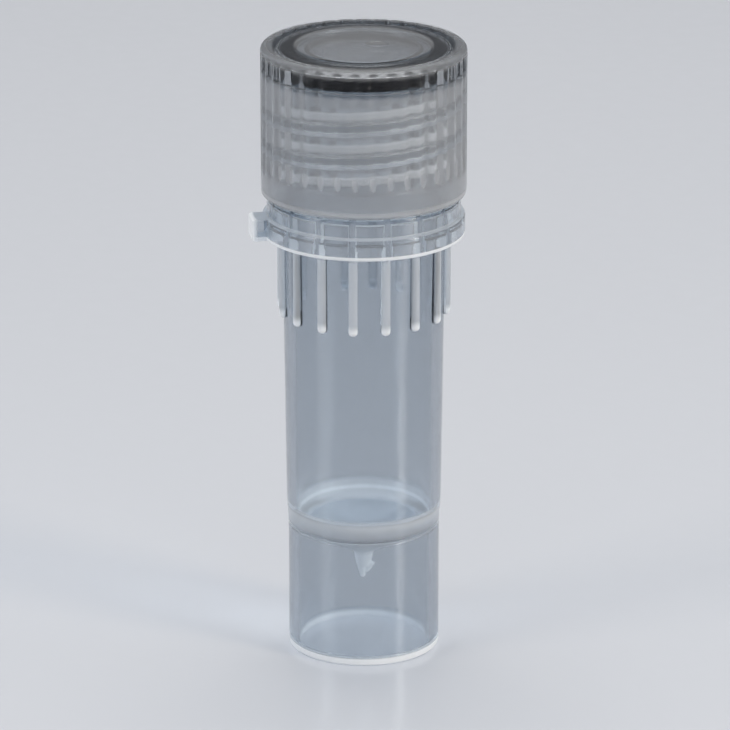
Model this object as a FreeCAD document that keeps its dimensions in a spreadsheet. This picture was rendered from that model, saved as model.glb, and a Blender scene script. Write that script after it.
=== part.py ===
"""Self-standing screw-cap micro tube with its cap and O-ring, in millimetres.

The tube stands on its foot ring with its axis on +Z, and the origin is the centre of that
ring. The cap is screwed home. The cap and the neck carry matching right-hand threads, so the
cap rises by one pitch for each full turn anticlockwise seen from above.
"""
import FreeCAD, Part
import math
import os

import Sketcher

doc = FreeCAD.newDocument("micro_tube")

# --------------------------------------------------------------------------------------------
# Driving dimensions
# --------------------------------------------------------------------------------------------
SIZES = {
    # tube: skirt, floor and body, from the foot up
    "foot_radius": 5.21,
    "skirt_wall": 0.70,
    "skirt_height": 8.95,
    "floor_edge": 0.86,
    "floor_cone": 2.55,
    "floor_dish": 2.75,
    "floor_break": 0.69,
    "body_step": 0.11,
    "body_draft": 0.24,
    "gate_radius": 0.55,
    "gate_length": 1.65,
    "gate_slit": 0.24,
    # tube: collar, ribs and lug
    "collar_height": 29.80,
    "flange_inset": 0.08,
    "flange_thickness": 1.50,
    "flange_skin": 0.55,
    "shoulder_roof": 0.50,
    "shoulder_inset": 0.38,
    "shoulder_thickness": 1.30,
    "rib_count": 16,
    "rib_azimuth": 5.2,
    "rib_width": 0.60,
    "rib_stand": 0.38,
    "rib_length": 5.60,
    "rib_tip_break": 0.20,
    "lug_azimuth": 180.0,
    "lug_reach": 0.92,
    "lug_width": 1.90,
    "lug_round": 0.20,
    # tube: threaded neck
    "neck_step": 0.18,
    "neck_length": 8.60,
    "neck_wall": 0.70,
    "thread_azimuth": 90.0,
    "thread_pitch": 2.25,
    "thread_depth": 0.50,
    "thread_root": 1.00,
    "thread_crest": 0.46,
    "thread_start": 1.50,
    "thread_turns": 2.70,
    # cap
    "cap_wall": 0.98,
    "cap_plate": 0.58,
    "cap_edge_break": 0.30,
    "band_height": 1.65,
    "band_relief": 0.15,
    "knurl_count": 36,
    "knurl_depth": 0.22,
    "knurl_width": 0.50,
    "knurl_azimuth": 5.2,
    "cap_thread_turns": 2.05,
    "boss_wall": 0.80,
    "boss_height": 1.00,
    "boss_recess": 0.75,
    "dimple_radius": 0.75,
    "dimple_depth": 0.12,
    "dimple_offset": 0.90,
    # seal
    "ring_section": 1.16,
    "ring_bevel": 0.34,
    "ring_inset": 0.09,
    # clearances and broken edges
    "thread_clearance": 0.12,
    "seal_clearance": 0.03,
    "rim_clearance": 0.10,
    "edge_break": 0.12,
}


class Size:
    """A length in millimetres together with the sheet expression that gives it."""

    def __init__(self, number, text):
        self.number = number
        self.text = text

    def __add__(self, other):
        return Size(self.number + number_of(other), f"({self.text} + {text_of(other)})")

    def __sub__(self, other):
        return Size(self.number - number_of(other), f"({self.text} - {text_of(other)})")

    def __mul__(self, factor):
        return Size(self.number * factor, f"({self.text} * {factor})")

    def __truediv__(self, divisor):
        return Size(self.number / divisor, f"({self.text} / {divisor})")


def number_of(value):
    return value.number if isinstance(value, Size) else float(value)


def text_of(value):
    return value.text if isinstance(value, Size) else str(float(value))


sheet = doc.addObject("Spreadsheet::Sheet", "Sizes")
size = {}
for row, (alias, value) in enumerate(SIZES.items(), start=1):
    sheet.set(f"A{row}", alias)
    sheet.set(f"B{row}", str(value))
    sheet.setAlias(f"B{row}", alias)
    size[alias] = Size(value, f"Sizes.{alias}")
doc.recompute()


# --------------------------------------------------------------------------------------------
# Sketching and feature helpers
# --------------------------------------------------------------------------------------------
def origin_part(body, role):
    """One of a body's own origin planes or axes."""
    return next(part for part in body.Origin.OriginFeatures if part.Role == role)


def bind(item, name, value):
    """Bind a property or a named constraint of an object to the sheet."""
    if isinstance(value, Size):
        item.setExpression(name, value.text)
    else:
        setattr(item, name, value)


def bind_constraint(sketch, number, value):
    """Bind one of a sketch's constraints to the sheet."""
    if isinstance(value, Size):
        sketch.setExpression(f"Constraints[{number}]", value.text)


def pin_point(sketch, geometry, place):
    """Hold a sketch point at its two distances from the sketch's axes."""
    for direction, across, distance in (("DistanceX", -2, place[0]), ("DistanceY", -1, place[1])):
        if number_of(distance) == 0:
            sketch.addConstraint(Sketcher.Constraint("PointOnObject", geometry, 1, across))
            continue
        number = sketch.addConstraint(
            Sketcher.Constraint(direction, geometry, 1, number_of(distance)))
        bind_constraint(sketch, number, distance)


def rounded(across, height, radius):
    """A corner of an outline, rounded by an arc."""
    return (across, height, radius, "arc")


def bevelled(across, height, reach):
    """A corner of an outline, cut off by a short straight edge."""
    return (across, height, reach, "bevel")


def softened(here, before, after, reach, kind):
    """The curve that takes a corner's place, its two ends, and which end comes first."""
    to_before = (before - here).normalize()
    to_after = (after - here).normalize()
    if kind == "bevel":
        arrive, leave = here + to_before * reach, here + to_after * reach
        return arrive, leave, Part.LineSegment(arrive, leave), True
    half = to_before.getAngle(to_after) / 2
    arrive = here + to_before * (reach / math.tan(half))
    leave = here + to_after * (reach / math.tan(half))
    centre = here + (to_before + to_after).normalize() * (reach / math.sin(half))
    turns_left = to_before.cross(to_after).z < 0
    first, last = (arrive, leave) if turns_left else (leave, arrive)
    angles = [math.atan2(end.y - centre.y, end.x - centre.x) for end in (first, last)]
    circle = Part.Circle(centre, FreeCAD.Vector(0, 0, 1), reach)
    return arrive, leave, Part.ArcOfCircle(circle, *angles), turns_left


def outline(body, name, corners, azimuth=None):
    """A closed sketch in the plane through the axis, radius across and height up.

    A corner is (radius, height), or rounded or bevelled. azimuth turns the plane about the
    axis.
    """
    sketch = body.newObject("Sketcher::SketchObject", name)
    sketch.AttachmentSupport = [(origin_part(body, "XZ_Plane"), "")]
    sketch.MapMode = "FlatFace"
    if azimuth is not None:
        turn = FreeCAD.Rotation(FreeCAD.Vector(0, 1, 0), azimuth.number)
        sketch.AttachmentOffset = FreeCAD.Placement(FreeCAD.Vector(), turn)
        sketch.setExpression("AttachmentOffset.Rotation.Angle", azimuth.text)

    count = len(corners)
    places = [FreeCAD.Vector(number_of(corner[0]), number_of(corner[1]), 0)
              for corner in corners]
    starts, ends, curves = list(places), places[1:] + places[:1], {}
    for index, corner in enumerate(corners):
        if len(corner) > 2:
            before, after = places[index - 1], places[(index + 1) % count]
            arrive, leave, curve, forward = softened(
                places[index], before, after, number_of(corner[2]), corner[3])
            ends[index - 1], starts[index] = arrive, leave
            curves[index] = (curve, forward)
    for start, end in zip(starts, ends):
        sketch.addGeometry(Part.LineSegment(start, end), False)

    for index, corner in enumerate(corners):
        last = (index - 1) % count
        if index not in curves:
            sketch.addConstraint(Sketcher.Constraint("Coincident", last, 2, index, 1))
            pin_point(sketch, index, corner)
            continue
        sharp = sketch.addGeometry(Part.Point(places[index]), True)
        sketch.addConstraint(Sketcher.Constraint("PointOnObject", sharp, 1, last))
        sketch.addConstraint(Sketcher.Constraint("PointOnObject", sharp, 1, index))
        pin_point(sketch, sharp, corner)
        curve, forward = curves[index]
        edge = sketch.addGeometry(curve, False)
        arriving, leaving = (1, 2) if forward else (2, 1)
        reach = number_of(corner[2])
        if corner[3] == "arc":
            sketch.addConstraint(Sketcher.Constraint("Tangent", last, 2, edge, arriving))
            sketch.addConstraint(Sketcher.Constraint("Tangent", edge, leaving, index, 1))
            sizes_of_corner = [Sketcher.Constraint("Radius", edge, reach)]
        else:
            sketch.addConstraint(Sketcher.Constraint("Coincident", last, 2, edge, 1))
            sketch.addConstraint(Sketcher.Constraint("Coincident", edge, 2, index, 1))
            sizes_of_corner = [Sketcher.Constraint("Distance", sharp, 1, last, 2, reach),
                               Sketcher.Constraint("Distance", sharp, 1, index, 1, reach)]
        for constraint in sizes_of_corner:
            number = sketch.addConstraint(constraint)
            bind_constraint(sketch, number, corner[2])
    return sketch


def revolved(body, name, corners):
    """A solid of revolution about the body's Z axis."""
    sketch = outline(body, f"{name}_profile", corners)
    feature = body.newObject("PartDesign::Revolution", name)
    feature.Profile = sketch
    feature.ReferenceAxis = (origin_part(body, "Z_Axis"), [""])
    feature.Angle = 360.0
    return feature


def slab(body, name, corners, width, azimuth, kind="PartDesign::Pad"):
    """A plate that stands in the plane through the axis, as thick as width, added or cut."""
    sketch = outline(body, f"{name}_profile", corners, azimuth)
    feature = body.newObject(kind, name)
    feature.Profile = sketch
    feature.SideType = "Symmetric"
    bind(feature, "Length", width)
    return feature


def ridge(body, name, corners, azimuth, turns):
    """A right-hand screw ridge about the Z axis."""
    sketch = outline(body, f"{name}_profile", corners, azimuth)
    feature = body.newObject("PartDesign::AdditiveHelix", name)
    feature.Profile = sketch
    feature.ReferenceAxis = (sketch, ["V_Axis"])
    feature.Mode = "pitch-turns-angle"
    feature.LeftHanded = False
    bind(feature, "Pitch", size["thread_pitch"])
    bind(feature, "Turns", turns)
    return feature


def around(body, name, features, count):
    """Repeat features evenly about the Z axis, and make that the body's last step."""
    pattern = body.newObject("PartDesign::PolarPattern", name)
    pattern.Originals = features
    pattern.Axis = (origin_part(body, "Z_Axis"), [""])
    pattern.Angle = 360.0
    bind(pattern, "Occurrences", count)
    body.Tip = pattern
    return pattern


# --------------------------------------------------------------------------------------------
# Heights and radii that the pieces share
# --------------------------------------------------------------------------------------------
flange_top = size["collar_height"] + size["flange_thickness"]
shoulder_top = flange_top + size["shoulder_thickness"]
mouth_height = shoulder_top + size["neck_length"]
body_low_radius = size["foot_radius"] + size["body_step"]
body_high_radius = body_low_radius + size["body_draft"]
neck_radius = body_high_radius - size["neck_step"]
crest_radius = neck_radius + size["thread_depth"]
cap_bore_radius = crest_radius + size["thread_clearance"]
cap_radius = cap_bore_radius + size["cap_wall"]
flange_radius = cap_radius - size["flange_inset"]
ring_foot = mouth_height + size["seal_clearance"]
ring_mean_radius = neck_radius - size["ring_inset"]
ring_outer = ring_mean_radius + size["ring_section"] / 2
ring_inner = ring_mean_radius - size["ring_section"] / 2
plate_underside = ring_foot + size["ring_section"] + size["seal_clearance"]
cap_top = plate_underside + size["cap_plate"]
cap_foot = shoulder_top + size["rim_clearance"]

# --------------------------------------------------------------------------------------------
# Tube: one moulding with skirt, floor, body, cored collar, ribs, lug and threaded neck
# --------------------------------------------------------------------------------------------
tube = doc.addObject("PartDesign::Body", "tube")
tube.Label = "tube"

floor_corner = size["skirt_height"] + size["floor_edge"]
body_foot = floor_corner + size["floor_break"]
cone_height = size["skirt_height"] - size["floor_cone"]
gate_foot = cone_height - size["gate_length"]
skirt_bore_radius = size["foot_radius"] - size["skirt_wall"]
bore_radius = neck_radius - size["neck_wall"]
wall_middle = (bore_radius + body_low_radius) / 2
# The collar is cored from below, up through the flange and on, narrower, into the shoulder.
shoulder_radius = cap_radius - size["shoulder_inset"]
channel_radius = flange_radius - size["flange_skin"]
core_radius = shoulder_radius - size["flange_skin"]
ledge_height = flange_top - size["flange_skin"]
roof_height = shoulder_top - size["shoulder_roof"]

revolved(tube, "tube_shell", [
    (0, gate_foot),
    (size["gate_radius"] * 0.6, gate_foot),
    (size["gate_radius"], cone_height),
    (skirt_bore_radius, size["skirt_height"]),
    (skirt_bore_radius, 0),
    bevelled(size["foot_radius"], 0, size["edge_break"]),
    (size["foot_radius"], size["skirt_height"]),
    (body_low_radius, body_foot),
    (body_high_radius, size["collar_height"]),
    (body_high_radius, roof_height),
    (core_radius, roof_height),
    (core_radius, ledge_height),
    (channel_radius, ledge_height),
    (channel_radius, size["collar_height"]),
    bevelled(flange_radius, size["collar_height"], size["edge_break"]),
    bevelled(flange_radius, flange_top, size["edge_break"]),
    (shoulder_radius, flange_top),
    bevelled(shoulder_radius, shoulder_top, size["edge_break"]),
    (neck_radius, shoulder_top),
    bevelled(neck_radius, mouth_height, size["edge_break"]),
    bevelled(bore_radius, mouth_height, size["edge_break"]),
    bevelled(bore_radius, floor_corner, size["floor_break"]),
    (0, floor_corner - size["floor_dish"]),
])

# Each rib runs up the body and on through both steps of the collar's core as a radial web.
rib_foot = size["collar_height"] - size["rib_length"]
rib_radius = body_high_radius + size["rib_stand"]
rib = slab(tube, "rib", [
    (wall_middle, rib_foot),
    bevelled(rib_radius, rib_foot, size["rib_tip_break"]),
    (rib_radius, size["collar_height"]),
    (channel_radius + size["edge_break"], size["collar_height"]),
    (channel_radius + size["edge_break"], ledge_height + size["edge_break"]),
    (core_radius + size["edge_break"], ledge_height + size["edge_break"]),
    (core_radius + size["edge_break"], roof_height + size["edge_break"]),
    (wall_middle, roof_height + size["edge_break"]),
], size["rib_width"], size["rib_azimuth"])
around(tube, "ribs", [rib], size["rib_count"])

slab(tube, "lug", [
    (channel_radius + size["edge_break"], size["collar_height"]),
    rounded(flange_radius + size["lug_reach"], size["collar_height"], size["lug_round"]),
    rounded(flange_radius + size["lug_reach"], flange_top, size["lug_round"]),
    (channel_radius + size["edge_break"], flange_top),
], size["lug_width"], size["lug_azimuth"])

thread_height = shoulder_top + size["thread_start"]
ridge(tube, "neck_thread", [
    (neck_radius - size["edge_break"], thread_height - size["thread_root"] / 2),
    (neck_radius, thread_height - size["thread_root"] / 2),
    (crest_radius, thread_height - size["thread_crest"] / 2),
    (crest_radius, thread_height + size["thread_crest"] / 2),
    (neck_radius, thread_height + size["thread_root"] / 2),
    (neck_radius - size["edge_break"], thread_height + size["thread_root"] / 2),
], size["thread_azimuth"], size["thread_turns"])

slab(tube, "gate_slit", [
    (size["gate_radius"] * -1, gate_foot),
    (size["gate_radius"], gate_foot),
    (size["gate_radius"], gate_foot + size["gate_length"] / 2),
    (size["gate_radius"] * -1, gate_foot + size["gate_length"] / 2),
], size["gate_slit"], size["thread_azimuth"], "PartDesign::Pocket")

# --------------------------------------------------------------------------------------------
# Cap: one moulding with a boss that carries the seal, an inner thread and a knurled outside
# --------------------------------------------------------------------------------------------
cap = doc.addObject("PartDesign::Body", "cap")
cap.Label = "cap"

seat_radius = ring_outer + size["seal_clearance"]
boss_radius = ring_inner - size["seal_clearance"]
boss_foot = plate_underside - size["boss_height"]
band_top = cap_foot + size["band_height"]
band_bore_radius = cap_bore_radius + size["band_relief"]

revolved(cap, "cap_shell", [
    (0, boss_foot + size["boss_recess"]),
    (boss_radius - size["boss_wall"], boss_foot + size["boss_recess"]),
    (boss_radius - size["boss_wall"], boss_foot),
    (boss_radius, boss_foot),
    (boss_radius, plate_underside),
    (seat_radius, plate_underside),
    (seat_radius, mouth_height),
    (cap_bore_radius, mouth_height),
    (cap_bore_radius, band_top),
    (band_bore_radius, band_top - size["band_relief"]),
    (band_bore_radius, cap_foot),
    bevelled(cap_radius, cap_foot, size["edge_break"]),
    (cap_radius, band_top),
    bevelled(cap_radius, cap_top, size["cap_edge_break"]),
    (0, cap_top),
])

# The cap's ridge hangs just under the neck's, where tightening draws it.
cap_root_radius = cap_bore_radius + size["edge_break"]
cap_crest_radius = neck_radius + size["thread_clearance"]
flank_gap = (size["thread_root"] + size["thread_crest"]) / 2 + size["thread_clearance"]
cap_ridge_height = thread_height + size["thread_pitch"] - flank_gap
ridge(cap, "cap_thread", [
    (cap_root_radius, cap_ridge_height + size["thread_root"] / 2),
    (cap_bore_radius, cap_ridge_height + size["thread_root"] / 2),
    (cap_crest_radius, cap_ridge_height + size["thread_crest"] / 2),
    (cap_crest_radius, cap_ridge_height - size["thread_crest"] / 2),
    (cap_bore_radius, cap_ridge_height - size["thread_root"] / 2),
    (cap_root_radius, cap_ridge_height - size["thread_root"] / 2),
], size["thread_azimuth"], size["cap_thread_turns"])

knurl_floor = cap_radius - size["knurl_depth"]
knurl = slab(cap, "knurl", [
    (knurl_floor, band_top + size["knurl_depth"]),
    (cap_radius, band_top),
    (cap_radius, cap_top),
    (knurl_floor, cap_top),
], size["knurl_width"], size["knurl_azimuth"], "PartDesign::Pocket")
around(cap, "knurls", [knurl], size["knurl_count"])

dimple = cap.newObject("PartDesign::SubtractiveCylinder", "gate_dimple")
dimple.AttachmentSupport = [(origin_part(cap, "XY_Plane"), "")]
dimple.MapMode = "FlatFace"
bind(dimple, "Radius", size["dimple_radius"])
bind(dimple, "Height", size["dimple_depth"])
bind(dimple, "AttachmentOffset.Base.x", size["dimple_offset"])
bind(dimple, "AttachmentOffset.Base.z", cap_top - size["dimple_depth"])

# --------------------------------------------------------------------------------------------
# O-ring: a black elastomer ring on the cap's boss, over the tube's mouth
# --------------------------------------------------------------------------------------------
o_ring = doc.addObject("PartDesign::Body", "o_ring")
o_ring.Label = "o_ring"
revolved(o_ring, "seal_ring", [
    bevelled(ring_inner, ring_foot, size["ring_bevel"]),
    bevelled(ring_outer, ring_foot, size["ring_bevel"]),
    bevelled(ring_outer, ring_foot + size["ring_section"], size["ring_bevel"]),
    bevelled(ring_inner, ring_foot + size["ring_section"], size["ring_bevel"]),
])

doc.recompute()

# --------------------------------------------------------------------------------------------
# Check and write
# --------------------------------------------------------------------------------------------
for item in doc.Objects:
    if "Invalid" in item.State or "Error" in item.State:
        raise RuntimeError(f"{item.Label} failed to recompute: {item.State}")

os.makedirs("parts", exist_ok=True)
for piece in (tube, cap, o_ring):
    shape = piece.Shape
    if shape.isNull() or not shape.isValid() or len(shape.Solids) != 1:
        raise RuntimeError(f"{piece.Label} is not one valid solid")
    shape.exportStep(f"parts/{piece.Label}.step")
    print(piece.Label, round(shape.Volume, 3), "mm3", shape.BoundBox)
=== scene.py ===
"""Dresses the self-standing screw-cap tube: the moulded tube, its cap and its seal."""
import math

import bmesh
import bpy
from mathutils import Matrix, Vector


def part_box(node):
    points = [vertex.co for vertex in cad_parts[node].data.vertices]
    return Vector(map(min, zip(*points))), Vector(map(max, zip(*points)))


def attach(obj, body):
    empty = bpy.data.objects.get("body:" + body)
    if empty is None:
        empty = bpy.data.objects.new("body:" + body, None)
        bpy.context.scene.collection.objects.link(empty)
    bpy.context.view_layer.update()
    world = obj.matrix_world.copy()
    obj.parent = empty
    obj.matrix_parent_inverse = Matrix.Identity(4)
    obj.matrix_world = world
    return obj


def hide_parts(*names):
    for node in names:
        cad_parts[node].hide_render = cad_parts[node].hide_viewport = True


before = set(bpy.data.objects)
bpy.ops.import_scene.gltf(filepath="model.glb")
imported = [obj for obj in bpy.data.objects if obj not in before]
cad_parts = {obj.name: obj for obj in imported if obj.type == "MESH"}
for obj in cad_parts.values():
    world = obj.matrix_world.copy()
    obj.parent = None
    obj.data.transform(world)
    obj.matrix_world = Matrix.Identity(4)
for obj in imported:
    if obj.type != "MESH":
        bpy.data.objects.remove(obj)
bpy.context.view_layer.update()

# ---------------------------------------------------------------------------------------------
# Tube shell. One injection moulding in natural polypropylene: a hollow foot skirt, a shallow
# conical floor, a tapered body and a two-tier collar cored out from below, under a plain neck.
# It is turned here as one closed wall, in millimetres, and brought down to metres at the end.
# ---------------------------------------------------------------------------------------------
MM = 0.001
ROUND_STEPS = 144
SAME_PLACE = 1e-3
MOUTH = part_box("tube")[1][2] / MM
SHOULDER_TOP = MOUTH - 8.60
FLANGE_TOP = SHOULDER_TOP - 1.30
FLANGE_FOOT = FLANGE_TOP - 1.50
SKIN = 0.55
CHANNEL_ROOF = SHOULDER_TOP - 0.50
FOOT_RADIUS, BODY_RADIUS, NECK_RADIUS = 5.21, 5.56, 5.38
FLANGE_RADIUS, SHOULDER_RADIUS = 6.90, 6.60
BORE_RADIUS = 4.68
SKIRT_BORE = FOOT_RADIUS - 0.70
BODY_STEP = 0.11
SKIRT_TOP, CONE_FOOT = 8.95, 6.40
FLOOR_CORNER, FLOOR_ROUND, DISH_FOOT = 9.81, 0.69, 7.06


def deselect_all():
    bpy.ops.object.select_all(action="DESELECT")


def choose(piece, wanted):
    """Select the points of the piece in edit mode whose place passes the test."""
    edited = bmesh.from_edit_mesh(piece.data)
    for point in edited.verts:
        point.select = bool(wanted(point.co))
    edited.select_flush(True)
    edited.select_flush(False)
    bmesh.update_edit_mesh(piece.data)


def drawn(name, corners):
    """A closed outline in the XZ plane from corners (radius, height, softening)."""
    deselect_all()
    bpy.ops.mesh.primitive_plane_add(size=1)
    piece = bpy.context.object
    piece.name = name
    bpy.ops.object.mode_set(mode="EDIT")
    bpy.ops.mesh.select_mode(type="VERT")
    bpy.ops.mesh.merge(type="CENTER")
    places = [Vector((corner[0], 0, corner[1])) for corner in corners]
    bpy.ops.transform.translate(value=places[0])
    for here, after in zip(places, places[1:]):
        bpy.ops.mesh.extrude_region_move(TRANSFORM_OT_translate={"value": after - here})
    first, last = places[0], places[-1]
    choose(piece, lambda place: min((place - first).length, (place - last).length) < SAME_PLACE)
    bpy.ops.mesh.edge_face_add()
    for place, corner in zip(places, corners):
        if len(corner) > 2:
            choose(piece, lambda point: (point - place).length < SAME_PLACE)
            bpy.ops.mesh.bevel(offset=corner[2], segments=4, affect="VERTICES")
    bpy.ops.object.mode_set(mode="OBJECT")
    return piece


def turned(name, corners, steps=ROUND_STEPS):
    """A solid of revolution: the closed outline, spun about Z."""
    piece = drawn(name, corners)
    bpy.ops.object.mode_set(mode="EDIT")
    bpy.ops.mesh.select_all(action="SELECT")
    bpy.ops.mesh.spin(steps=steps, angle=math.tau, center=(0, 0, 0), axis=(0, 0, 1))
    bpy.ops.mesh.select_all(action="SELECT")
    bpy.ops.mesh.remove_doubles(threshold=SAME_PLACE)
    bpy.ops.mesh.normals_make_consistent(inside=False)
    bpy.ops.object.mode_set(mode="OBJECT")
    return piece


tube = turned("tube_shell", [
    (0, CONE_FOOT),
    (SKIRT_BORE, SKIRT_TOP, 0.35),
    (SKIRT_BORE, 0, 0.20),
    (FOOT_RADIUS, 0, 0.20),
    (FOOT_RADIUS, SKIRT_TOP, 0.30),
    (FOOT_RADIUS + BODY_STEP, FLOOR_CORNER + FLOOR_ROUND, 0.30),
    (BODY_RADIUS, FLANGE_FOOT),
    (BODY_RADIUS, CHANNEL_ROOF, 0.15),
    (SHOULDER_RADIUS - SKIN, CHANNEL_ROOF, 0.15),
    (SHOULDER_RADIUS - SKIN, FLANGE_TOP - SKIN, 0.15),
    (FLANGE_RADIUS - SKIN, FLANGE_TOP - SKIN, 0.15),
    (FLANGE_RADIUS - SKIN, FLANGE_FOOT, 0.10),
    (FLANGE_RADIUS, FLANGE_FOOT, 0.16),
    (FLANGE_RADIUS, FLANGE_TOP, 0.20),
    (SHOULDER_RADIUS, FLANGE_TOP, 0.10),
    (SHOULDER_RADIUS, SHOULDER_TOP, 0.18),
    (NECK_RADIUS, SHOULDER_TOP, 0.20),
    (NECK_RADIUS, MOUTH, 0.22),
    (BORE_RADIUS, MOUTH, 0.16),
    (BORE_RADIUS, FLOOR_CORNER, FLOOR_ROUND),
    (0, DISH_FOOT),
])

# ---------------------------------------------------------------------------------------------
# Ribs and webs. Sixteen upright ribs stand on the body under the collar, each with a full
# round edge and a ball-like foot. Inside the cored collar, each runs on as a thin radial web.
# They are part of the tube's moulding, so they are joined to its shell.
# ---------------------------------------------------------------------------------------------
RIB_COUNT = 16
RIB_AZIMUTH = math.radians(5.2)
RIB_WIDTH, RIB_STAND, RIB_LENGTH = 0.62, 0.40, 5.65
RIB_FOOT, RIB_TOP = FLANGE_FOOT - RIB_LENGTH, FLANGE_FOOT + 0.40
RIB_ROOT = BORE_RADIUS + 0.40
RIB_ROUND = 0.46 * RIB_WIDTH
WEB_WIDTH = 0.46
WEB_OVERLAP = 0.20
OUT_OF_PLANE = 0.01


def block(name, low, high):
    """A box from its two opposite corners."""
    deselect_all()
    size = Vector(high) - Vector(low)
    bpy.ops.mesh.primitive_cube_add(size=1, location=(Vector(low) + Vector(high)) / 2)
    piece = bpy.context.object
    piece.name = name
    piece.scale = size
    bpy.ops.object.transform_apply(location=True, rotation=True, scale=True)
    return piece


def join_solid(carrier, added, operation="UNION"):
    """Join the second piece to the first, or cut it out, as one skin with nothing left inside."""
    deselect_all()
    bpy.context.view_layer.objects.active = carrier
    joint = carrier.modifiers.new("joined", "BOOLEAN")
    joint.operation = operation
    joint.solver = "EXACT"
    joint.object = added
    bpy.ops.object.modifier_apply(modifier=joint.name)
    bpy.data.objects.remove(added)


def ring_of(piece, count, first_azimuth):
    """Copies of the piece, evenly about Z, as one object."""
    copies = []
    for index in range(count):
        copy = piece.copy()
        copy.data = piece.data.copy()
        bpy.context.collection.objects.link(copy)
        copy.rotation_euler.z = first_azimuth + index * math.tau / count
        copies.append(copy)
    bpy.data.objects.remove(piece)
    deselect_all()
    for copy in copies:
        copy.select_set(True)
    bpy.context.view_layer.objects.active = copies[0]
    bpy.ops.object.transform_apply(location=True, rotation=True, scale=True)
    bpy.ops.object.join()
    return bpy.context.object


rib = block("rib", (RIB_ROOT, -RIB_WIDTH / 2, RIB_FOOT),
            (BODY_RADIUS + RIB_STAND, RIB_WIDTH / 2, RIB_TOP))
bpy.ops.object.mode_set(mode="EDIT")
choose(rib, lambda place: place.x > BODY_RADIUS or place.z < FLANGE_FOOT)
bpy.ops.mesh.bevel(offset=RIB_ROUND, segments=6, affect="EDGES")
bpy.ops.object.mode_set(mode="OBJECT")
web = block("web", (RIB_ROOT, -WEB_WIDTH / 2, FLANGE_FOOT - 2 * OUT_OF_PLANE),
            (SHOULDER_RADIUS - SKIN + WEB_OVERLAP, WEB_WIDTH / 2, CHANNEL_ROOF + WEB_OVERLAP))
web_foot = block("web_foot",
                 (RIB_ROOT, -WEB_WIDTH / 2 - OUT_OF_PLANE, FLANGE_FOOT - 3 * OUT_OF_PLANE),
                 (FLANGE_RADIUS - SKIN + WEB_OVERLAP, WEB_WIDTH / 2 + OUT_OF_PLANE,
                  FLANGE_TOP - SKIN + WEB_OVERLAP))
join_solid(rib, web)
join_solid(rib, web_foot)
join_solid(tube, ring_of(rib, RIB_COUNT, RIB_AZIMUTH))

# ---------------------------------------------------------------------------------------------
# Lug. A small square tooth on the collar's rim, which keeps the tube from turning in a rack.
# It is moulded with the collar and has softly rounded edges.
# ---------------------------------------------------------------------------------------------
LUG_REACH, LUG_WIDTH, LUG_ROUND = 0.92, 1.90, 0.20

lug = block("lug", (-FLANGE_RADIUS - LUG_REACH, -LUG_WIDTH / 2, FLANGE_FOOT),
            (-FLANGE_RADIUS + SKIN / 2, LUG_WIDTH / 2, FLANGE_TOP))
bpy.ops.object.mode_set(mode="EDIT")
choose(lug, lambda place: place.x < -FLANGE_RADIUS)
bpy.ops.mesh.bevel(offset=LUG_ROUND, segments=4, affect="EDGES")
bpy.ops.object.mode_set(mode="OBJECT")
join_solid(tube, lug)

# ---------------------------------------------------------------------------------------------
# Neck thread. A right-hand ridge of nearly three turns round the neck, moulded with the tube.
# Its section is swept up the screw, and both ends run out into the neck's surface.
# ---------------------------------------------------------------------------------------------
PITCH = 2.25
THREAD_FOOT = SHOULDER_TOP + 1.50
THREAD_AZIMUTH = math.radians(90)
NECK_TURNS = 2.70
RIDGE_ROOT, RIDGE_CREST, RIDGE_DEPTH = 1.00, 0.46, 0.50
RIDGE_SUNK, RIDGE_ROUND = 0.18, 0.10
STEPS_IN_TURN = 72
RUN_OUT_STEPS = 9
RUN_OUT_SHARE = 1.04


def screw_ridge(name, wall_radius, depth, height, turns):
    """A screw ridge on a wall of the given radius, outwards where depth is above 0."""
    sunk = wall_radius - math.copysign(RIDGE_SUNK, depth)
    crest = wall_radius + depth
    piece = drawn(name, [
        (sunk, height - RIDGE_ROOT / 2),
        (wall_radius, height - RIDGE_ROOT / 2),
        (crest, height - RIDGE_CREST / 2, RIDGE_ROUND),
        (crest, height + RIDGE_CREST / 2, RIDGE_ROUND),
        (wall_radius, height + RIDGE_ROOT / 2),
        (sunk, height + RIDGE_ROOT / 2),
    ])
    section = len(piece.data.vertices)
    piece.rotation_euler.z = THREAD_AZIMUTH
    bpy.ops.object.transform_apply(location=True, rotation=True, scale=True)
    steps = round(turns * STEPS_IN_TURN)
    sweep = piece.modifiers.new("sweep", "SCREW")
    sweep.angle = turns * math.tau
    sweep.screw_offset = turns * PITCH
    sweep.steps = sweep.render_steps = steps + 1
    sweep.use_merge_vertices = False
    bpy.ops.object.modifier_apply(modifier=sweep.name)
    bpy.ops.object.mode_set(mode="EDIT")
    for step in range(RUN_OUT_STEPS):
        share = RUN_OUT_SHARE * (1 - math.sin(math.pi / 2 * step / RUN_OUT_STEPS))
        lowered = (crest - share * depth) / crest
        edited = bmesh.from_edit_mesh(piece.data)
        for point in edited.verts:
            from_end = min(point.index // section, steps - point.index // section)
            radius = point.co.xy.length
            point.select = from_end == step and abs(radius - crest) < abs(radius - wall_radius)
        edited.select_flush(True)
        edited.select_flush(False)
        bmesh.update_edit_mesh(piece.data)
        bpy.ops.transform.resize(value=(lowered, lowered, 1), center_override=(0, 0, 0))
    bpy.ops.mesh.select_all(action="SELECT")
    bpy.ops.mesh.fill_holes(sides=0)
    bpy.ops.mesh.select_all(action="SELECT")
    bpy.ops.mesh.normals_make_consistent(inside=False)
    bpy.ops.object.mode_set(mode="OBJECT")
    return piece


join_solid(tube, screw_ridge("neck_thread", NECK_RADIUS, RIDGE_DEPTH, THREAD_FOOT, NECK_TURNS))

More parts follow.
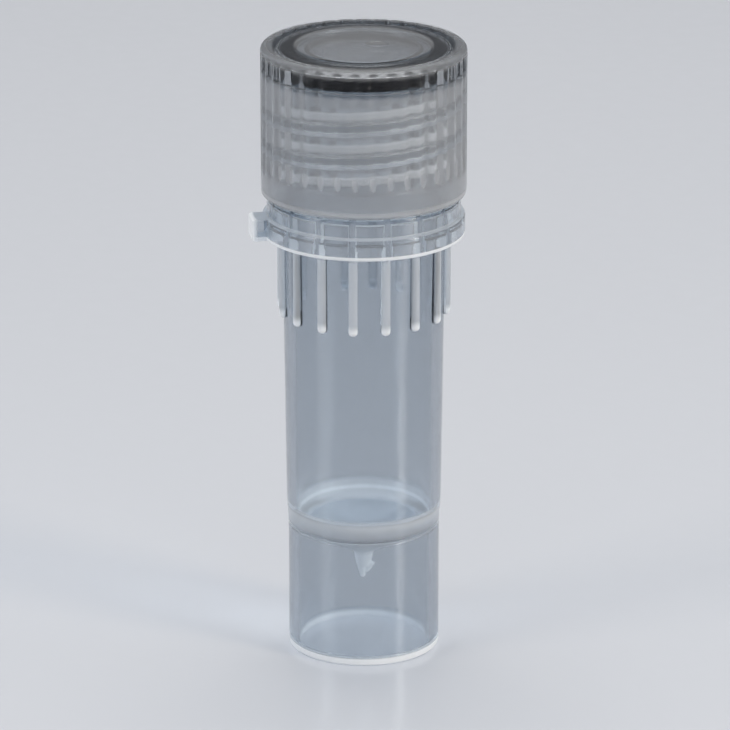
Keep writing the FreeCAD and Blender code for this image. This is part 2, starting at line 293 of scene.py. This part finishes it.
# ---------------------------------------------------------------------------------------------
# Gate nub. What is left under the cone where the moulding was pulled off its runner: a stub
# with a long and a short torn prong. Its heights are measured from the foot of the cone.
# ---------------------------------------------------------------------------------------------
NUB_AZIMUTH = math.radians(-10)
NUB_RADIUS = 0.74
NUB_VOXEL = 0.05


def prong(low_radius, high_radius, foot, top, across, lean):
    """A tapered round prong, set across from the axis and leaning by a few degrees."""
    place = (across * math.cos(NUB_AZIMUTH), across * math.sin(NUB_AZIMUTH),
             CONE_FOOT + (foot + top) / 2)
    bpy.ops.mesh.primitive_cone_add(vertices=20, radius1=low_radius, radius2=high_radius,
                                    depth=top - foot, location=place,
                                    rotation=(0, math.radians(lean), NUB_AZIMUTH))
    return bpy.context.object


prongs = [
    prong(low_radius=0.46, high_radius=NUB_RADIUS, foot=-0.80, top=0.55, across=0.0, lean=0),
    prong(low_radius=0.17, high_radius=0.36, foot=-1.62, top=-0.45, across=-0.12, lean=-8),
    prong(low_radius=0.15, high_radius=0.28, foot=-1.25, top=-0.50, across=0.36, lean=24),
]
deselect_all()
for piece in prongs:
    piece.select_set(True)
nub = prongs[0]
bpy.context.view_layer.objects.active = nub
bpy.ops.object.join()
bpy.ops.object.transform_apply(location=True, rotation=True, scale=True)
skinned = nub.modifiers.new("one_skin", "REMESH")
skinned.mode = "VOXEL"
skinned.voxel_size = NUB_VOXEL
bpy.ops.object.modifier_apply(modifier=skinned.name)
rounded_off = nub.modifiers.new("rounded_off", "SMOOTH")
rounded_off.factor, rounded_off.iterations = 0.5, 3
bpy.ops.object.modifier_apply(modifier=rounded_off.name)
join_solid(tube, nub)

# ---------------------------------------------------------------------------------------------
# Natural polypropylene. It is nearly clear, darkens with the depth that is looked through and is
# milky in places, with a moulded gloss, flow streaks along the draw and a fine grain. Its white
# share is also used for painted highlights and painted light. Tube and cap share it, each with
# its own tints.
# ---------------------------------------------------------------------------------------------
FLOW_STRETCH = 0.12


class Wire:
    """An output of a material's node; sums written on it add Math nodes."""

    def __init__(self, socket):
        self.socket = socket

    def maths(self, operation, first, second):
        return wired(self.socket.id_data, "ShaderNodeMath", {"operation": operation},
                     {0: first, 1: second})

    def __add__(self, other):
        return self.maths("ADD", self, other)

    def __sub__(self, other):
        return self.maths("SUBTRACT", self, other)

    def __rsub__(self, other):
        return self.maths("SUBTRACT", other, self)

    def __mul__(self, other):
        return self.maths("MULTIPLY", self, other)

    __radd__, __rmul__ = __add__, __mul__

    def past(self, edge, start, full):
        """0 up to start past the edge and 1 from full past it, in millimetres, smooth between."""
        return wired(self.socket.id_data, "ShaderNodeMapRange", {"interpolation_type": "SMOOTHSTEP"},
                     {"Value": self, "From Min": (edge + start) * MM, "From Max": (edge + full) * MM})


def wired(tree, kind, settings, inputs, output=0):
    """Add a node: its settings first, then the values or wires of its sockets."""
    node = tree.nodes.new(kind)
    for name, value in settings.items():
        setattr(node, name, value)
    for name, value in inputs.items():
        if isinstance(value, Wire):
            tree.links.new(value.socket, node.inputs[name])
        else:
            node.inputs[name].default_value = value
    return Wire(node.outputs[output])


def new_material(name):
    """An empty material and its node tree."""
    material = bpy.data.materials.new(name)
    material.use_nodes = True
    material.node_tree.nodes.clear()
    return material, material.node_tree


def finish_with(tree, shader, volume=None):
    """Link the shader, and the volume where there is one, to the material's output."""
    output = tree.nodes.new("ShaderNodeOutputMaterial")
    tree.links.new(shader.socket, output.inputs["Surface"])
    if volume:
        tree.links.new(volume.socket, output.inputs["Volume"])


def polypropylene(name, clear_tint, deep_tint, milk_and_painted_light_tint, shine, milk_painted_light_and_blur):
    """Moulded polypropylene; milk_painted_light_and_blur gives its white share and blur by place.

    clear_tint is what its surface lets through, and deep_tint what a millimetre of it does.
    milk_and_painted_light_tint is the colour of its white share, which is milk in some places and
    painted highlights and painted light in others, and shine the strength of its gloss.
    """
    material, tree = new_material(name)
    place = wired(tree, "ShaderNodeTexCoord", {}, {}, "Object")
    flat = wired(tree, "ShaderNodeVectorMath", {"operation": "MULTIPLY"}, {0: place, 1: (1, 1, 0)})
    radius = wired(tree, "ShaderNodeVectorMath", {"operation": "LENGTH"}, {0: flat}, "Value")
    height = wired(tree, "ShaderNodeSeparateXYZ", {}, {"Vector": place}, "Z")
    milk_and_painted_light, blur = milk_painted_light_and_blur(radius, height)
    drawn_out = wired(tree, "ShaderNodeMapping", {}, {"Vector": place, "Scale": (1, 1, FLOW_STRETCH)})
    streaks = wired(tree, "ShaderNodeTexNoise", {}, {"Vector": drawn_out, "Scale": 900.0, "Detail": 3.0})
    clouds = wired(tree, "ShaderNodeTexNoise", {}, {"Vector": place, "Scale": 160.0, "Detail": 2.0})
    grain = wired(tree, "ShaderNodeTexNoise", {}, {"Vector": place, "Scale": 9000.0, "Detail": 2.0})
    whitened = wired(tree, "ShaderNodeMix", {"data_type": "RGBA"},
                     {"Factor": clouds, 6: (*(0.94 * part for part in milk_and_painted_light_tint), 1),
                      7: (*milk_and_painted_light_tint, 1)}, 2)
    relief = wired(tree, "ShaderNodeBump", {},
                   {"Height": streaks * 0.8 + grain * 0.2, "Strength": 0.12, "Distance": 0.00002})
    clear = wired(tree, "ShaderNodeBsdfPrincipled", {}, {
        "Base Color": (*clear_tint, 1), "Roughness": blur + 0.06 * clouds, "IOR": 1.49,
        "Transmission Weight": 1.0, "Specular Tint": (shine, shine, shine, 1), "Normal": relief})
    # This white shader carries the milk and also the painted highlights and painted light.
    milky = wired(tree, "ShaderNodeBsdfPrincipled", {}, {
        "Base Color": whitened, "Roughness": 0.30 + 0.10 * clouds, "Specular IOR Level": 0.3,
        "Normal": relief})
    clouded_milk_and_painted_light = milk_and_painted_light * (0.85 + 0.3 * clouds)
    body = wired(tree, "ShaderNodeMixShader", {}, {0: clouded_milk_and_painted_light, 1: clear, 2: milky})
    lit_through = wired(tree, "ShaderNodeBsdfTransparent", {}, {"Color": (0.93, 0.95, 0.97, 1)})
    shadow = wired(tree, "ShaderNodeLightPath", {}, {}, "Is Shadow Ray")
    surface = wired(tree, "ShaderNodeMixShader", {}, {0: shadow, 1: body, 2: lit_through})
    depth = wired(tree, "ShaderNodeVolumeAbsorption", {}, {"Color": (*deep_tint, 1), "Density": 1 / MM})
    finish_with(tree, surface, depth)
    return material


# ---------------------------------------------------------------------------------------------
# The tube's white share and blur. Its webs and floor band are milky and the rest is clear, apart
# from the frosted neck. The ribs are partly milky and partly painted highlight. The white share
# also paints highlights on the ribs' feet, the collar's lower and upper edges, the lug's end, the
# thread's crest, the floor's rounded corner, the nub and the foot, and painted light on the cone
# under the floor. Each edge below is a named place and its offsets from it.
# ---------------------------------------------------------------------------------------------
CONE_SLOPE = 0.57
SMOOTH_ANGLE = math.radians(35)


def tube_milk_painted_light_and_blur(radius, height):
    """The tube's white share, from 0 to 1, milk with painted highlights and painted light, and its blur.
    """
    above_ribs = height.past(FLANGE_FOOT, -0.50, 0)
    in_collar = height.past(FLANGE_FOOT, -0.10, 0) * (1 - height.past(CHANNEL_ROOF, 0.10, 0.30))
    # The ribs are whitened partly as the milk of their thick section and partly as a painted highlight,
    # which is strongest at their rounded feet.
    painted_rib_tip_highlight = 1 - height.past(RIB_FOOT, 0.25, 0.85)
    ribs = radius.past(BODY_RADIUS, 0.02, 0.18) * (1 - above_ribs) * (0.34 + 0.50 * painted_rib_tip_highlight)
    upper_tier = height.past(FLANGE_TOP - SKIN, -0.10, 0)
    tier_radius = radius + (FLANGE_RADIUS - SHOULDER_RADIUS) * MM * upper_tier
    webs = in_collar * radius.past(BODY_RADIUS, 0.04, 0.10) * (
        1 - tier_radius.past(FLANGE_RADIUS - SKIN, -0.11, -0.05))
    rim_wall = in_collar * radius.past(FLANGE_RADIUS - SKIN, -0.05, 0.05)
    # Painted highlights: light lines along the collar's lower edge and, fainter, its upper edge.
    foot_ledge = 1 - height.past(FLANGE_FOOT, 0.25, 0.32)
    top_ledge = height.past(FLANGE_TOP, -0.10, -0.04) * (1 - height.past(FLANGE_TOP, 0.06, 0.12))
    painted_ledge_highlights = above_ribs * radius.past(FLANGE_RADIUS - SKIN, 0.05, 0.11) * (
        foot_ledge + 0.28 * top_ledge)
    # Painted highlight on the lug's outer end.
    painted_lug_highlight = radius.past(FLANGE_RADIUS, 0.55, 0.80)
    # Painted glint: the neck thread's crest is whitened into a soft bright line.
    thread = radius.past(NECK_RADIUS, 0.32, 0.44) * height.past(SHOULDER_TOP, 0.40, 0.80)
    outside = radius.past(FOOT_RADIUS, -0.26, -0.11)
    floor_band = outside * height.past(SKIRT_TOP, -0.35, 0.55) * (
        1 - height.past(FLOOR_CORNER, 0.29, 1.09))
    # Painted highlight: a thin bright arc on the rounded corner where the bore meets the floor.
    painted_floor_highlight_arc = height.past(FLOOR_CORNER, -0.31, -0.21) * radius.past(BORE_RADIUS, -0.30, -0.24) * (
        1 - radius.past(BORE_RADIUS, -0.18, -0.12))
    under_floor = (1 - radius.past(SKIRT_BORE, -0.16, -0.01)) * (
        1 - height.past(FLOOR_CORNER, 0.19, 0.39))
    # Painted light: the cone under the floor is whitened so it looks lit through the floor.
    above_cone = height - CONE_SLOPE * radius
    cone = under_floor * (1 - above_cone.past(CONE_FOOT, 0.10, 0.35))
    # Painted highlight: the floor's rounded corner is whitened to lighten the ends of the dish.
    painted_floor_round_highlights = (1 - outside) * (1 - cone) * radius.past(BORE_RADIUS, -1.18, -0.73) * (
        height.past(FLOOR_CORNER, -0.86, -0.56) * (1 - height.past(FLOOR_CORNER, 0.49, 0.79)))
    # The nub is whitened partly as the milk of the solid stub and partly as a painted glint.
    nub_milk_and_glint = (1 - height.past(CONE_FOOT, -0.30, 0.30)) * (1 - radius.past(NUB_RADIUS, 0.06, 0.46))
    # Painted highlight: a bright line round the bottom of the foot.
    foot = 1 - height.past(0, 0.45, 0.62)
    neck = height.past(SHOULDER_TOP, 0.10, 0.40)
    # One white share sums the milk (haze, ribs in part, webs, rim wall, floor band, nub in part) with
    # the painted highlights and the cone's painted light.
    milk_and_painted_light = (0.03 + ribs + 0.9 * webs + 0.12 * rim_wall + 0.7 * painted_ledge_highlights + 0.8 * painted_lug_highlight
            + 0.65 * thread + 0.29 * floor_band + 0.7 * painted_floor_highlight_arc + 0.42 * painted_floor_round_highlights
            + 0.85 * cone + 0.9 * nub_milk_and_glint + 0.9 * foot)
    return milk_and_painted_light, 0.07 + 0.15 * neck


def bring_down(piece, material):
    """Shade a finished solid smooth, give it its material and bring it to metres."""
    deselect_all()
    piece.select_set(True)
    bpy.context.view_layer.objects.active = piece
    bpy.ops.object.shade_smooth_by_angle(angle=SMOOTH_ANGLE)
    weighted = piece.modifiers.new("even_shading", "WEIGHTED_NORMAL")
    weighted.keep_sharp = True
    bpy.ops.object.modifier_apply(modifier=weighted.name)
    piece.scale = (MM, MM, MM)
    bpy.ops.object.transform_apply(location=True, rotation=True, scale=True)
    piece.data.materials.clear()
    piece.data.materials.append(material)


tube_plastic = polypropylene("tube_polypropylene", clear_tint=(0.77, 0.80, 0.83),
                             deep_tint=(0.76, 0.79, 0.82), milk_and_painted_light_tint=(0.93, 0.94, 0.95),
                             shine=1.0, milk_painted_light_and_blur=tube_milk_painted_light_and_blur)
bring_down(tube, tube_plastic)
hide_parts("tube")
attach(tube, "tube")

# ---------------------------------------------------------------------------------------------
# Cap. One moulding in clear polypropylene: a thin top plate with a hollow boss that carries
# the seal, a wall with thirty-six upright knurls, and a plain band round its foot.
# ---------------------------------------------------------------------------------------------
CAP_FOOT, CAP_TOP = (corner[2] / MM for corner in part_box("cap"))
CAP_RADIUS, CAP_BORE = 6.98, 6.00
TOP_ROUND = 0.35
PLATE_FOOT = CAP_TOP - 0.58
SEAT_RADIUS = 5.90
BOSS_FOOT, BOSS_RADIUS, BOSS_BORE = PLATE_FOOT - 1.00, 4.68, 3.88
BOSS_ROOF = PLATE_FOOT - 0.25
BAND_TOP = CAP_FOOT + 1.65
BAND_RELIEF = 0.15
KNURL_COUNT, KNURL_DEPTH = 36, 0.20
KNURL_START, KNURL_HALF, KNURL_FULL = BAND_TOP - 0.05, BAND_TOP + 0.25, BAND_TOP + 0.60
KNURL_END = CAP_TOP - 0.55
KNURL_AZIMUTH = math.radians(5.2)
COLUMNS_IN_KNURL = 8
COLUMNS = KNURL_COUNT * COLUMNS_IN_KNURL
SAME_ROW = 0.05


def knurl_column(place):
    """Which column of its knurl a point of the cap's side stands in; 0 is the deepest."""
    return round(math.atan2(place.y, place.x) / math.tau * COLUMNS) % COLUMNS_IN_KNURL


cap = turned("cap_shell", [
    (0, BOSS_ROOF),
    (BOSS_BORE, BOSS_ROOF, 0.20),
    (BOSS_BORE, BOSS_FOOT, 0.15),
    (BOSS_RADIUS, BOSS_FOOT, 0.20),
    (BOSS_RADIUS, PLATE_FOOT),
    (SEAT_RADIUS, PLATE_FOOT, 0.25),
    (SEAT_RADIUS, MOUTH, 0.04),
    (CAP_BORE, MOUTH, 0.04),
    (CAP_BORE, BAND_TOP, 0.08),
    (CAP_BORE + BAND_RELIEF, BAND_TOP - BAND_RELIEF, 0.08),
    (CAP_BORE + BAND_RELIEF, CAP_FOOT, 0.10),
    (CAP_RADIUS, CAP_FOOT, 0.22),
    (CAP_RADIUS, KNURL_START),
    (CAP_RADIUS, KNURL_HALF),
    (CAP_RADIUS, KNURL_FULL),
    (CAP_RADIUS, KNURL_END),
    (CAP_RADIUS, CAP_TOP, TOP_ROUND),
    (0, CAP_TOP),
], COLUMNS)
bpy.ops.object.mode_set(mode="EDIT")
for column in range(COLUMNS_IN_KNURL):
    share = (0.5 + 0.5 * math.cos(math.tau * column / COLUMNS_IN_KNURL)) ** 2
    for row, part_of_depth in ((KNURL_HALF, 0.5), (KNURL_FULL, 1.0), (KNURL_END, 1.0),
                               (CAP_TOP - TOP_ROUND, 0.5)):
        choose(cap, lambda place: abs(place.z - row) < SAME_ROW and knurl_column(place) == column
               and place.xy.length > CAP_BORE + BAND_RELIEF)
        pushed = 1 - share * part_of_depth * KNURL_DEPTH / CAP_RADIUS
        bpy.ops.transform.resize(value=(pushed, pushed, 1), center_override=(0, 0, 0))
bpy.ops.object.mode_set(mode="OBJECT")
cap.rotation_euler.z = KNURL_AZIMUTH
bpy.ops.object.transform_apply(location=True, rotation=True, scale=True)

# ---------------------------------------------------------------------------------------------
# Cap thread and gate mark. The ridge inside the cap hangs just under the neck's, where
# tightening draws it. The gate leaves a shallow round dimple on the top, a little off centre.
# ---------------------------------------------------------------------------------------------
THREAD_CLEARANCE = 0.12
CAP_TURNS = 2.05
CAP_THREAD_FOOT = THREAD_FOOT + PITCH - (RIDGE_ROOT + RIDGE_CREST) / 2 - THREAD_CLEARANCE
DIMPLE_RADIUS, DIMPLE_DEPTH, DIMPLE_OFFSET = 0.75, 0.12, 0.90

join_solid(cap, screw_ridge("cap_thread", CAP_BORE, -RIDGE_DEPTH, CAP_THREAD_FOOT, CAP_TURNS))
deselect_all()
bpy.ops.mesh.primitive_uv_sphere_add(
    segments=48, ring_count=24, radius=DIMPLE_RADIUS,
    location=(DIMPLE_OFFSET, 0, CAP_TOP))
dimple = bpy.context.object
dimple.scale.z = DIMPLE_DEPTH / DIMPLE_RADIUS
bpy.ops.object.transform_apply(location=True, rotation=True, scale=True)
join_solid(cap, dimple, "DIFFERENCE")


# ---------------------------------------------------------------------------------------------
# The cap's white share and blur. It is milky in its wall, its top plate and the feet of its
# knurls, clear round the seal, and blurred on its side and on its thread. The line round its foot
# is a painted highlight, and its inner thread ridge is kept out of the wall's milk so that it
# reads as a darker band: painted shade.
# ---------------------------------------------------------------------------------------------
def cap_milk_painted_light_and_blur(radius, height):
    """The cap's white share, from 0 to 1, milk with a painted highlight, and its blur."""
    under_mouth = 1 - height.past(MOUTH, -0.30, 0)
    wall = radius.past(CAP_BORE, -0.20, -0.10) * under_mouth
    plate = height.past(PLATE_FOOT, -0.22, 0.08) * (
        1 - radius.past(BOSS_RADIUS, -0.08, 0.12) + radius.past(CAP_BORE, 0, 0.40))
    bore_face = (1 - radius.past(CAP_BORE, 0.15, 0.30)) * under_mouth
    side = radius.past(CAP_RADIUS, -0.48, -0.38)
    grooves = side * (1 - radius.past(CAP_RADIUS, -0.14, -0.04))
    groove_feet = grooves * height.past(BAND_TOP, -0.05, 0.15) * (
        1 - 0.80 * height.past(BAND_TOP, 0.65, 2.05) - 0.20 * height.past(MOUTH, 0, 0.60))
    side_face = side * (1 - height.past(MOUTH, -0.60, 0) + height.past(CAP_TOP, -0.50, -0.40))
    ridge = (1 - radius.past(CAP_BORE, -0.025, -0.005)) * height.past(BAND_TOP, -0.15, 0.05)
    # Painted highlight: a light line round the cap's foot.
    painted_foot_highlight_line = side * height.past(CAP_FOOT, 0.15, 0.25) * (1 - height.past(CAP_FOOT, 0.30, 0.65))
    top_edge = radius.past(CAP_RADIUS, -0.48, -0.28) * height.past(CAP_TOP, -0.60, -0.40)
    # Leaving the thread ridge out of the wall's milk makes it a darker band: painted shade.
    milk_and_painted_light = 0.22 * wall * (1 - ridge) + 0.20 * plate + 0.12 * groove_feet + 0.22 * painted_foot_highlight_line
    blur = (0.07 + 0.12 * side_face + 0.15 * bore_face + 0.35 * ridge * under_mouth
            + 0.22 * top_edge)
    return milk_and_painted_light, blur


cap_plastic = polypropylene("cap_polypropylene", clear_tint=(0.80, 0.81, 0.82),
                            deep_tint=(0.80, 0.81, 0.82), milk_and_painted_light_tint=(0.68, 0.68, 0.69),
                            shine=0.35, milk_painted_light_and_blur=cap_milk_painted_light_and_blur)
bring_down(cap, cap_plastic)
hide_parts("cap")
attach(cap, "cap")

# ---------------------------------------------------------------------------------------------
# O-ring. A black elastomer ring on the cap's boss, which the cap presses on the tube's rim. It
# has a satin skin with a faint mottle.
# ---------------------------------------------------------------------------------------------
ring_low, ring_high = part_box("o_ring")
RING_SECTION = (ring_high[2] - ring_low[2]) / MM
RING_RADIUS = ring_high[0] / MM - RING_SECTION / 2
deselect_all()
bpy.ops.mesh.primitive_torus_add(
    major_segments=ROUND_STEPS, minor_segments=32, major_radius=RING_RADIUS,
    minor_radius=RING_SECTION / 2, location=(0, 0, (ring_low[2] + ring_high[2]) / 2 / MM))
ring = bpy.context.object
ring.name = "seal_ring"
bpy.ops.object.transform_apply(location=True, rotation=True, scale=True)

rubber, rubber_tree = new_material("black_elastomer")
place = wired(rubber_tree, "ShaderNodeTexCoord", {}, {}, "Object")
mottle = wired(rubber_tree, "ShaderNodeTexNoise", {}, {"Vector": place, "Scale": 700.0, "Detail": 2.0})
skin = wired(rubber_tree, "ShaderNodeTexNoise", {}, {"Vector": place, "Scale": 9000.0, "Detail": 2.0})
bloom = wired(rubber_tree, "ShaderNodeMix", {"data_type": "RGBA"},
              {"Factor": mottle, 6: (0.004, 0.004, 0.006, 1), 7: (0.012, 0.012, 0.015, 1)}, 2)
relief = wired(rubber_tree, "ShaderNodeBump", {},
               {"Height": skin, "Strength": 0.08, "Distance": 0.00002})
finish_with(rubber_tree, wired(rubber_tree, "ShaderNodeBsdfPrincipled", {}, {
    "Base Color": bloom, "Roughness": 0.55 + 0.10 * mottle, "Specular IOR Level": 0.08,
    "Normal": relief}))
bring_down(ring, rubber)
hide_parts("o_ring")
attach(ring, "seal")

# ---------------------------------------------------------------------------------------------
# Studio. A plain pale floor and a room that is dim below and pale above, with soft lamps: a tall
# narrow one from the right, a wider dimmer one from the left and one from above and behind.
# ---------------------------------------------------------------------------------------------
TARGET = Vector((0, 0, 0.02021))
LAMP_DISTANCE = 0.60

deselect_all()
bpy.ops.mesh.primitive_plane_add(size=3.0)
floor = bpy.context.object
floor.name = "floor"
paper, paper_tree = new_material("pale_paper")
place = wired(paper_tree, "ShaderNodeTexCoord", {}, {}, "Object")
fibres = wired(paper_tree, "ShaderNodeTexNoise", {}, {"Vector": place, "Scale": 600.0, "Detail": 3.0})
finish_with(paper_tree, wired(paper_tree, "ShaderNodeBsdfPrincipled", {}, {
    "Base Color": (0.66, 0.67, 0.70, 1), "Roughness": 0.16 + 0.10 * fibres}))
floor.data.materials.append(paper)

world = bpy.data.worlds.new("room")
world.use_nodes = True
bpy.context.scene.world = world
walls = wired(world.node_tree, "ShaderNodeTexCoord", {}, {}, "Generated")
up = wired(world.node_tree, "ShaderNodeSeparateXYZ", {}, {"Vector": walls}, "Z")
toward_ceiling = wired(world.node_tree, "ShaderNodeMapRange", {},
                       {"Value": up, "From Min": 0.30, "From Max": 0.95})
room = wired(world.node_tree, "ShaderNodeMix", {"data_type": "RGBA"},
             {"Factor": toward_ceiling, 6: (0.12, 0.125, 0.135, 1), 7: (0.84, 0.86, 0.89, 1)}, 2)
world.node_tree.links.new(room.socket, world.node_tree.nodes["Background"].inputs["Color"])


def toward(azimuth, elevation, distance):
    """The place seen from the target at an azimuth and an elevation in degrees."""
    turn, tilt = math.radians(azimuth), math.radians(elevation)
    return TARGET + distance * Vector((
        math.cos(turn) * math.cos(tilt), math.sin(turn) * math.cos(tilt), math.sin(tilt)))


def softbox(name, azimuth, elevation, width, height, power, colour):
    """A soft rectangular lamp that faces the target."""
    deselect_all()
    place = toward(azimuth, elevation, LAMP_DISTANCE)
    facing = (TARGET - place).to_track_quat("-Z", "Y").to_euler()
    bpy.ops.object.light_add(type="AREA", location=place, rotation=facing)
    lamp = bpy.context.object
    lamp.name = name
    lamp.data.shape = "RECTANGLE"
    lamp.data.size, lamp.data.size_y = width, height
    lamp.data.energy = power
    lamp.data.color = colour


softbox("right_softbox", azimuth=319, elevation=21, width=0.12, height=0.42, power=1.8,
        colour=(1.0, 0.97, 0.92))
softbox("left_softbox", azimuth=198, elevation=21, width=0.20, height=0.42, power=1.3,
        colour=(0.96, 0.98, 1.0))
softbox("top_softbox", azimuth=80, elevation=65, width=0.45, height=0.35, power=1.3,
        colour=(1.0, 1.0, 1.0))

# ---------------------------------------------------------------------------------------------
# Camera. It stands in front and a little to the left of the tube's own frame, looking down.
# ---------------------------------------------------------------------------------------------
CAMERA_AZIMUTH, CAMERA_ELEVATION, CAMERA_DISTANCE = 260, 18.79, 0.349
FRAME_WIDTH = 730
FOCAL_LENGTH_IN_FRAME, SHIFT_IN_FRAME = 5080, 1.2
RAY_BOUNCES, TRANSPARENT_BOUNCES = 24, 16

deselect_all()
eye = toward(CAMERA_AZIMUTH, CAMERA_ELEVATION, CAMERA_DISTANCE)
facing = (TARGET - eye).to_track_quat("-Z", "Y").to_euler()
bpy.ops.object.camera_add(location=eye, rotation=facing)
camera = bpy.context.object
camera.data.sensor_width = 36
camera.data.lens = FOCAL_LENGTH_IN_FRAME / FRAME_WIDTH * camera.data.sensor_width
camera.data.shift_x = SHIFT_IN_FRAME / FRAME_WIDTH
camera.data.clip_start = 0.01
bpy.context.scene.camera = camera
bpy.context.scene.view_settings.view_transform = "Standard"
bpy.context.scene.cycles.max_bounces = RAY_BOUNCES
bpy.context.scene.cycles.transmission_bounces = RAY_BOUNCES
bpy.context.scene.cycles.transparent_max_bounces = TRANSPARENT_BOUNCES
